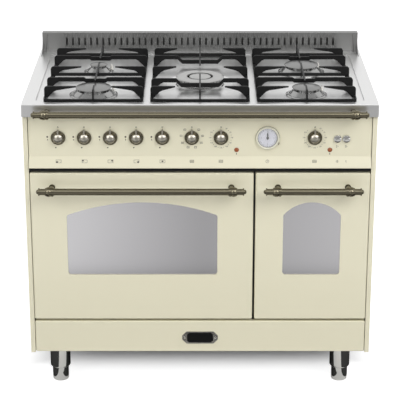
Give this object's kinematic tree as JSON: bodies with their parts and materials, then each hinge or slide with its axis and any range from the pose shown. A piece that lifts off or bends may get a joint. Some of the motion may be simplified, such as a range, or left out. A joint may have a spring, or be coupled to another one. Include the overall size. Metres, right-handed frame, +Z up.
{
  "type": "range cooker",
  "caption": "Free-standing range cooker with gas hob, wide and narrow ovens with arched windows, front rail, knobs, clock and storage drawer on levelling legs.",
  "frame": {"origin": "on the floor below the middle of the overall box", "axes": "+X to the right seen from the front, +Y from the front to the wall, +Z up"},
  "size_m": [1, 0.672, 0.95],
  "materials": {
    "cream_enamel": "glossy cream vitreous enamel on pressed steel",
    "galvanised_steel": "dull zinc-coated sheet",
    "black_enamel": "black vitreous enamel",
    "trim_steel": "satin steel strip",
    "brushed_stainless": "brushed stainless steel, grain along the width",
    "aged_bronze": "aged bronze plating, satin",
    "seal_rubber": "black silicone gasket",
    "shelf_chrome": "bright chrome plating",
    "element_steel": "heat-darkened sheathed tube",
    "fan_steel": "plain pressed steel",
    "gas_brass": "machined brass",
    "switch_plastic": "dark moulded plastic",
    "lamp_lens": "orange-red translucent lens",
    "clock_gilt": "ivory and pale gilt bezel with a white dial",
    "hand_black": "black lacquered hand",
    "burner_alloy": "polished aluminium alloy crown",
    "cap_enamel": "satin grey cap",
    "plug_ceramic": "white glazed ceramic",
    "support_enamel": "black satin enamel",
    "mirror_glass": "grey mirror-coated glass"
  },
  "bodies": {
    "root": {"left_side_panel": "cream_enamel", "right_side_panel": "cream_enamel", "rear_panel": "galvanised_steel", "base_tray": "galvanised_steel", "front_frame": "black_enamel", "control_panel": "cream_enamel", "vent_trim": "trim_steel", "hob_top": "brushed_stainless", "backguard": "brushed_stainless", "front_rail": "aged_bronze", "front_rail_posts": "aged_bronze", "large_oven_cavity": "black_enamel", "small_oven_cavity": "black_enamel", "door_seals": "seal_rubber", "oven_shelves": "shelf_chrome", "heating_elements": "element_steel", "fan_cover": "galvanised_steel", "gas_manifold": "gas_brass", "control_switches": "switch_plastic", "indicator_lamps": "lamp_lens", "clock_case": "clock_gilt", "flame_spreaders": "burner_alloy", "burner_caps": "cap_enamel", "ignition_plugs": "plug_ceramic", "leg_sleeves": "shelf_chrome"},
    "large_door": {"large_door_panel": "cream_enamel", "large_door_glass": "mirror_glass", "large_door_liner": "black_enamel", "large_door_handle": "aged_bronze", "large_door_handle_posts": "aged_bronze", "large_door_hinges": "galvanised_steel"},
    "small_door": {"small_door_panel": "cream_enamel", "small_door_glass": "mirror_glass", "small_door_liner": "black_enamel", "small_door_handle": "aged_bronze", "small_door_handle_posts": "aged_bronze", "small_door_hinges": "galvanised_steel"},
    "drawer": {"drawer_front": "cream_enamel", "drawer_box": "galvanised_steel"},
    "gas_knob_1": {"gas_knob_1": "aged_bronze"},
    "gas_knob_2": {"gas_knob_2": "aged_bronze"},
    "gas_knob_3": {"gas_knob_3": "aged_bronze"},
    "gas_knob_4": {"gas_knob_4": "aged_bronze"},
    "gas_knob_5": {"gas_knob_5": "aged_bronze"},
    "function_knob": {"function_knob": "aged_bronze"},
    "large_oven_knob": {"large_oven_knob": "aged_bronze"},
    "small_oven_knob": {"small_oven_knob": "aged_bronze"},
    "light_button": {"light_button": "shelf_chrome"},
    "ignition_button": {"ignition_button": "shelf_chrome"},
    "foot_front_left": {"foot_front_left": "shelf_chrome"},
    "foot_front_right": {"foot_front_right": "shelf_chrome"},
    "foot_rear_left": {"foot_rear_left": "shelf_chrome"},
    "foot_rear_right": {"foot_rear_right": "shelf_chrome"},
    "left_pan_support": {"left_pan_support": "support_enamel"},
    "centre_pan_support": {"centre_pan_support": "support_enamel"},
    "right_pan_support": {"right_pan_support": "support_enamel"},
    "oven_fan": {"oven_fan": "fan_steel"},
    "minute_hand": {"minute_hand": "hand_black"},
    "hour_hand": {"hour_hand": "hand_black"},
    "clock_crown": {"clock_crown": "clock_gilt"}
  },
  "joints": [
    {"name": "large_door_hinge", "type": "hinge", "parent": "root", "child": "large_door", "pos_m": [-0.1655, -0.266, 0.247], "axis": [1, 0, 0], "range_deg": [0, 90], "stiffness_Nm_per_rad": 8, "springref_deg": -20.05},
    {"name": "small_door_hinge", "type": "hinge", "parent": "root", "child": "small_door", "pos_m": [0.3205, -0.266, 0.247], "axis": [1, 0, 0], "range_deg": [0, 90], "stiffness_Nm_per_rad": 4.4, "springref_deg": -20.05},
    {"name": "drawer_slide", "type": "slide", "parent": "root", "child": "drawer", "axis": [0, -1, 0], "range_m": [0, 0.35]},
    {"name": "gas_knob_1_turn", "type": "hinge", "parent": "root", "child": "gas_knob_1", "pos_m": [-0.39901, -0.276, 0.789], "axis": [0, -1, 0], "range_deg": [0, 205]},
    {"name": "gas_knob_2_turn", "type": "hinge", "parent": "root", "child": "gas_knob_2", "pos_m": [-0.32574, -0.276, 0.789], "axis": [0, -1, 0], "range_deg": [0, 205]},
    {"name": "gas_knob_3_turn", "type": "hinge", "parent": "root", "child": "gas_knob_3", "pos_m": [-0.25251, -0.276, 0.789], "axis": [0, -1, 0], "range_deg": [0, 205]},
    {"name": "gas_knob_4_turn", "type": "hinge", "parent": "root", "child": "gas_knob_4", "pos_m": [-0.17924, -0.276, 0.789], "axis": [0, -1, 0], "range_deg": [0, 205]},
    {"name": "gas_knob_5_turn", "type": "hinge", "parent": "root", "child": "gas_knob_5", "pos_m": [-0.10602, -0.276, 0.789], "axis": [0, -1, 0], "range_deg": [0, 205]},
    {"name": "function_knob_turn", "type": "hinge", "parent": "root", "child": "function_knob", "pos_m": [-0.02299, -0.276, 0.789], "axis": [0, -1, 0], "continuous": true},
    {"name": "large_oven_knob_turn", "type": "hinge", "parent": "root", "child": "large_oven_knob", "pos_m": [0.05902, -0.276, 0.789], "axis": [0, -1, 0], "range_deg": [-270, 0]},
    {"name": "small_oven_knob_turn", "type": "hinge", "parent": "root", "child": "small_oven_knob", "pos_m": [0.32298, -0.276, 0.789], "axis": [0, -1, 0], "range_deg": [-270, 0]},
    {"name": "light_button_press", "type": "slide", "parent": "root", "child": "light_button", "axis": [0, 1, 0], "range_m": [0, 0.003], "stiffness_N_per_m": 400},
    {"name": "ignition_button_press", "type": "slide", "parent": "root", "child": "ignition_button", "axis": [0, 1, 0], "range_m": [0, 0.003], "stiffness_N_per_m": 400},
    {"name": "foot_front_left_adjust", "type": "slide", "parent": "root", "child": "foot_front_left", "axis": [0, 0, -1], "range_m": [0, 0.05]},
    {"name": "foot_front_right_adjust", "type": "slide", "parent": "root", "child": "foot_front_right", "axis": [0, 0, -1], "range_m": [0, 0.05]},
    {"name": "foot_rear_left_adjust", "type": "slide", "parent": "root", "child": "foot_rear_left", "axis": [0, 0, -1], "range_m": [0, 0.05]},
    {"name": "foot_rear_right_adjust", "type": "slide", "parent": "root", "child": "foot_rear_right", "axis": [0, 0, -1], "range_m": [0, 0.05]},
    {"name": "left_pan_support_lift", "type": "slide", "parent": "root", "child": "left_pan_support", "axis": [0, 0, 1], "range_m": [0, 0.06]},
    {"name": "centre_pan_support_lift", "type": "slide", "parent": "root", "child": "centre_pan_support", "axis": [0, 0, 1], "range_m": [0, 0.06]},
    {"name": "right_pan_support_lift", "type": "slide", "parent": "root", "child": "right_pan_support", "axis": [0, 0, 1], "range_m": [0, 0.06]},
    {"name": "oven_fan_spin", "type": "hinge", "parent": "root", "child": "oven_fan", "pos_m": [-0.1655, 0.234, 0.453], "axis": [0, 1, 0], "continuous": true},
    {"name": "minute_hand_turn", "type": "hinge", "parent": "root", "child": "minute_hand", "pos_m": [0.19001, -0.276, 0.789], "axis": [0, 1, 0], "continuous": true},
    {"name": "hour_hand_turn", "type": "hinge", "parent": "root", "child": "hour_hand", "pos_m": [0.19001, -0.276, 0.789], "axis": [0, 1, 0], "continuous": true},
    {"name": "clock_crown_turn", "type": "hinge", "parent": "root", "child": "clock_crown", "pos_m": [0.21915, -0.2795, 0.77351], "axis": [0.8829, 0, -0.4695], "continuous": true}
  ],
  "couplings": [
    {"joint": "hour_hand_turn", "follows": "minute_hand_turn", "ratio": 0.083333}
  ]
}
